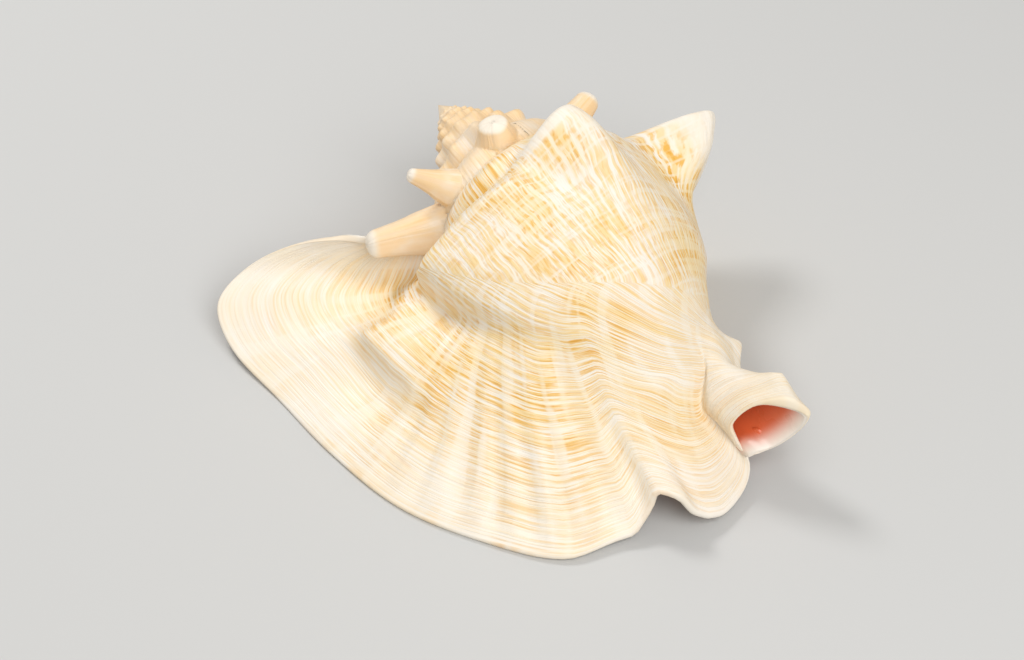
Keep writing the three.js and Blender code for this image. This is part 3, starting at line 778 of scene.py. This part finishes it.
def makeReliefTree():
    # low ribs and wrinkles along the growth lines, and folds across them at the lip's edge
    tree, group, output = newTree("growthRelief", {
        "Rib spacing": relief["ribSpacing"], "Rib height": relief["ribHeight"],
        "Wrinkle spacing": relief["wrinkleSpacing"], "Wrinkle height": relief["wrinkleHeight"],
        "Fold spacing": relief["foldSpacing"], "Fold height": relief["foldHeight"],
        "Fold width": relief["foldWidth"], "Seed": relief["seed"], "Material": None})
    value = group.outputs
    age, along, place = attribute(tree, "age"), attribute(tree, "along"), attribute(tree, "place")
    edgeAway = attribute(tree, "edgeAway")
    ribAge = maths(tree, "DIVIDE", age, value["Rib spacing"])
    ribAlong = maths(tree, "DIVIDE", along, relief["ribLength"])
    ribs = noiseField(tree, 1.0, 2.0, ribAge, ribAlong, value["Seed"])
    wrinkleAge = maths(tree, "DIVIDE", age, value["Wrinkle spacing"])
    wrinkleAlong = maths(tree, "DIVIDE", along, relief["wrinkleLength"])
    wrinkles = noiseField(tree, 1.0, 1.0, wrinkleAge, wrinkleAlong, value["Seed"])
    height = maths(tree, "MULTIPLY", ribs, maths(tree, "MULTIPLY", value["Rib height"], 2.0))
    wrinkled = maths(tree, "MULTIPLY", wrinkles, maths(tree, "MULTIPLY", value["Wrinkle height"], 2.0))
    crowded = faded(tree, place, relief["smoothBody"], 1.0, 0.12)
    height = maths(tree, "MULTIPLY", maths(tree, "ADD", height, wrinkled), crowded)
    swayAlong = maths(tree, "DIVIDE", along, relief["swayLength"])
    sway = product(tree, noiseField(tree, 1.0, 1.0, swayAlong, value["Seed"], 0.0), relief["sway"])
    foldTurns = maths(tree, "DIVIDE", maths(tree, "ADD", along, sway), value["Fold spacing"])
    folds = maths(tree, "SINE", maths(tree, "MULTIPLY", foldTurns, 2 * math.pi))
    edgeShare = maths(tree, "DIVIDE", edgeAway, value["Fold width"])
    atEdge = maths(tree, "EXPONENT", product(tree, edgeShare, edgeShare, -1.0))
    started = faded(tree, place, relief["foldsStart"])
    ended = faded(tree, place, relief["foldsEnd"], 1.0, 0.0)
    ended = maths(tree, "MULTIPLY", ended, faded(tree, edgeAway, relief["inland"]))
    atEdge = maths(tree, "MULTIPLY", atEdge, maths(tree, "MULTIPLY", started, ended))
    foldPart = product(tree, folds, atEdge, value["Fold height"], 0.5)
    outside = maths(tree, "SUBTRACT", 1.0, attribute(tree, "inside"))
    height = product(tree, maths(tree, "ADD", height, foldPart), outside, millimetre)
    # nothing rises where the shell stands on the table
    level = addNode(tree, "ShaderNodeSeparateXYZ", tree.nodes.new("GeometryNodeInputPosition").outputs[0])
    height = maths(tree, "MULTIPLY", height, faded(tree, level.outputs["Z"], relief["clearOfTable"]))
    normal = tree.nodes.new("GeometryNodeInputNormal").outputs["Normal"]
    push = addNode(tree, "ShaderNodeVectorMath", normal, operation="SCALE")
    tree.links.new(height, push.inputs["Scale"])
    moved = addNode(tree, "GeometryNodeSetPosition", group.outputs["Geometry"], None, None, push.outputs[0])
    endTree(tree, group, output, moved.outputs[0])
    return tree


makeSources()
print("sources made")
shell = joinSources()
keepLargest(shell.data)
print("skin joined", len(shell.data.polygons))
storeTraits(shell.data)
print("traits stored")


def linear(red, green, blue):
    # a screen colour as the shader wants it; none here is dark enough for the curve's straight foot
    return tuple(((c / 255 + 0.055) / 1.055) ** 2.4 for c in (red, green, blue)) + (1.0,)


finish = {
    "white": linear(251, 243, 230), "cream": linear(255, 236, 196), "amber": linear(250, 214, 138),
    "ochre": linear(241, 186, 84), "rust": linear(230, 162, 56), "peach": linear(248, 216, 174),
    "pink": linear(226, 106, 62), "rose": linear(250, 210, 184),
    "lineSpacing": 1.15, "dashLength": 30.0, "bandSpacing": 9.0, "wander": 4.0,
    "patchScale": 22.0, "cloudScale": 60.0, "roughness": 0.42, "roughSpread": 0.15,
    "insideGloss": 0.22, "ridgeStrength": 0.65, "ridgeHeight": 0.0005,
}


def mixColours(tree, factor, first, second):
    node = addNode(tree, "ShaderNodeMix", data_type="RGBA")
    for socket, value in ((node.inputs[0], factor), (node.inputs[6], first), (node.inputs[7], second)):
        if isinstance(value, bpy.types.NodeSocket):
            tree.links.new(value, socket)
        else:
            socket.default_value = value
    return node.outputs[2]


def ramp(tree, value, low, high, start=0.0, end=1.0):
    node = addNode(tree, "ShaderNodeMapRange", value, low, high, start, end, interpolation_type="SMOOTHSTEP")
    return node.outputs[0]


def makeShellMaterial():
    material = bpy.data.materials.new("shellSkin")
    material.use_nodes = True
    tree = material.node_tree
    surface = tree.nodes["Principled BSDF"]

    def trait(name):
        return addNode(tree, "ShaderNodeAttribute", attribute_name=name).outputs["Fac"]

    def noise(detail, *place):
        where = addNode(tree, "ShaderNodeCombineXYZ", *place).outputs[0]
        node = addNode(tree, "ShaderNodeTexNoise", where)
        node.inputs["Scale"].default_value = 1.0
        node.inputs["Detail"].default_value = detail
        return node.outputs["Fac"]

    def over(value, size):
        return maths(tree, "DIVIDE", value, size)

    def spots(scale, detail):
        node = addNode(tree, "ShaderNodeTexNoise", place)
        node.inputs["Scale"].default_value = scale
        node.inputs["Detail"].default_value = detail
        return node.outputs["Fac"]

    place = addNode(tree, "ShaderNodeTexCoord").outputs["Object"]
    age, along, inside, tip = trait("age"), trait("along"), trait("inside"), trait("tip")
    edgeAway, spread = trait("edgeAway"), trait("place")
    wobble = product(tree, noise(2.0, over(age, 20.0), over(along, 60.0), 0.0), finish["wander"])
    lineAge = maths(tree, "ADD", age, wobble)
    lineTurns = over(lineAge, finish["lineSpacing"])
    lines = noise(1.0, lineTurns, over(along, 80.0), 3.0)
    dashes = noise(3.0, lineTurns, over(along, finish["dashLength"]), 9.0)
    bands = noise(1.0, over(age, 55.0), over(maths(tree, "ADD", along, wobble), finish["bandSpacing"]), 5.0)
    patches = spots(finish["patchScale"], 3.0)
    clouds = spots(finish["cloudScale"], 3.0)
    wing = product(tree, ramp(tree, spread, 0.24, 0.36, 1.0, 0.0), ramp(tree, edgeAway, 45.0, 80.0, 1.0, 0.0))
    rimPale = ramp(tree, edgeAway, 2.0, 70.0, 0.35, 1.0)
    tipPale = ramp(tree, tip, 0.2, 0.7, 1.0, 0.1)
    tone = ramp(tree, patches, 0.38, 0.62, 0.35, 1.0)
    banded = ramp(tree, bands, 0.36, 0.52, 0.25, 1.0)
    streaks = product(tree, ramp(tree, dashes, 0.47, 0.6), banded, tone)
    faint = product(tree, ramp(tree, lines, 0.42, 0.6), maths(tree, "MULTIPLY_ADD", banded, 0.5, 0.5), 0.75)
    aged = ramp(tree, edgeAway, 300.0, 390.0)
    older = maths(tree, "MULTIPLY_ADD", aged, -0.75, 1.0)
    quiet = product(tree, rimPale, tipPale, older, ramp(tree, wing, 0.0, 1.0, 1.0, 0.5))
    yellowed = product(
        tree, ramp(tree, clouds, 0.32, 0.64), ramp(tree, patches, 0.33, 0.58),
        ramp(tree, edgeAway, 10.0, 80.0, 0.3, 1.0), tipPale)
    colour = mixColours(tree, yellowed, finish["white"], finish["cream"])
    peachy = product(tree, aged, tipPale, ramp(tree, clouds, 0.3, 0.6, 0.35, 0.9))
    colour = mixColours(tree, peachy, colour, finish["peach"])
    colour = mixColours(tree, product(tree, faint, quiet), colour, finish["amber"])
    colour = mixColours(tree, product(tree, streaks, quiet), colour, finish["ochre"])
    rusty = product(tree, ramp(tree, dashes, 0.62, 0.72), streaks, quiet)
    colour = mixColours(tree, rusty, colour, finish["rust"])
    depth = maths(tree, "ADD", edgeAway, ramp(tree, spread, 0.74, 0.8, 0.0, 40.0))
    insideColour = mixColours(tree, ramp(tree, edgeAway, 3.0, 12.0), finish["white"], finish["rose"])
    insideColour = mixColours(tree, ramp(tree, depth, 39.0, 49.0), insideColour, finish["pink"])
    colour = mixColours(tree, inside, colour, insideColour)
    tree.links.new(colour, surface.inputs["Base Color"])
    rough = ramp(tree, clouds, 0.3, 0.7, finish["roughness"], finish["roughness"] + finish["roughSpread"])
    rough = maths(tree, "SUBTRACT", rough, product(tree, inside, finish["insideGloss"]))
    tree.links.new(rough, surface.inputs["Roughness"])
    fine = noise(2.0, over(lineAge, 0.7), over(along, 20.0), 1.0)
    ridges = maths(tree, "MULTIPLY_ADD", fine, 0.5, lines)
    ridges = product(tree, ridges, maths(tree, "SUBTRACT", 1.0, inside))
    bump = addNode(tree, "ShaderNodeBump")
    bump.inputs["Strength"].default_value = finish["ridgeStrength"]
    bump.inputs["Distance"].default_value = finish["ridgeHeight"]
    tree.links.new(ridges, bump.inputs["Height"])
    tree.links.new(bump.outputs[0], surface.inputs["Normal"])
    return material


shellSkin = makeShellMaterial()
bakeTree(shell, makeReliefTree(), **{"Material": shellSkin})
shell.data.shade_smooth()
print("relief done", len(shell.data.polygons))


def fitToFrame(piece):
    # the pointed top and the lip's front edge lie where the CAD model has them, and the fine relief
    # reaches no further than it
    points = meshPoints(piece.data)
    first, size = points.min(0), np.ptp(points, axis=0)
    fit = np.minimum(np.array(cadHigh - cadLow) / size, 1)
    shift = Matrix.Translation((cadLow.x - first[0] * fit[0], cadLow.y - first[1] * fit[1], 0))
    piece.data.transform(shift @ Matrix.Diagonal((*fit, 1)))


fitToFrame(shell)
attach(shell, "root")
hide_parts("conch_shell")

studio = {
    "azimuth": 57, "elevation": 45, "distance": 1.0, "target": (-0.0216, -0.0013, 0.0),
    "lens": 87.9, "sensor": 36,
    "floorHalf": 3, "floorColour": (0.62, 0.62, 0.61, 1), "floorRoughness": 0.8,
    "skyColour": (1.0, 0.98, 0.95, 1), "skyStrength": 0.43,
    # name, azimuth, elevation, distance, size, power
    "lights": [("key", -80, 50, 1.4, 0.4, 7.0), ("fill", 85, 50, 1.6, 1.2, 14.6)],
}


def viewDirection(azimuth, elevation):
    a, e = math.radians(azimuth), math.radians(elevation)
    return Vector((math.sin(a) * math.cos(e), -math.cos(a) * math.cos(e), math.sin(e)))


def makeCamera():
    data = bpy.data.cameras.new("camera")
    camera = bpy.data.objects.new("camera", data)
    bpy.context.scene.collection.objects.link(camera)
    back = viewDirection(studio["azimuth"], studio["elevation"])
    camera.location = Vector(studio["target"]) + back * studio["distance"]
    camera.rotation_mode = "QUATERNION"
    camera.rotation_quaternion = (-back).to_track_quat("-Z", "Y")
    data.sensor_width = studio["sensor"]
    data.lens = studio["lens"]
    bpy.context.scene.camera = camera


def addSoftLight(name, azimuth, elevation, distance, size, power):
    data = bpy.data.lights.new(name, "AREA")
    data.shape = "DISK"
    data.size = size
    data.energy = power
    light = bpy.data.objects.new(name, data)
    bpy.context.scene.collection.objects.link(light)
    towards = viewDirection(azimuth, elevation)
    light.location = towards * distance
    light.rotation_mode = "QUATERNION"
    light.rotation_quaternion = (-towards).to_track_quat("-Z", "Y")


def makeStudio():
    floorMesh = bpy.data.meshes.new("floor")
    half = studio["floorHalf"]
    corners = [(-half, -half, 0), (half, -half, 0), (half, half, 0), (-half, half, 0)]
    floorMesh.from_pydata(corners, [], [(0, 1, 2, 3)])
    floor = bpy.data.objects.new("floor", floorMesh)
    bpy.context.scene.collection.objects.link(floor)
    material = bpy.data.materials.new("paleFloor")
    material.use_nodes = True
    surface = material.node_tree.nodes["Principled BSDF"]
    surface.inputs["Base Color"].default_value = studio["floorColour"]
    surface.inputs["Roughness"].default_value = studio["floorRoughness"]
    floorMesh.materials.append(material)
    world = bpy.data.worlds.new("studio")
    world.use_nodes = True
    world.node_tree.nodes["Background"].inputs[0].default_value = studio["skyColour"]
    world.node_tree.nodes["Background"].inputs[1].default_value = studio["skyStrength"]
    bpy.context.scene.world = world
    for light in studio["lights"]:
        addSoftLight(*light)
    bpy.context.scene.view_settings.view_transform = "Standard"


makeCamera()
makeStudio()
print("studio set")
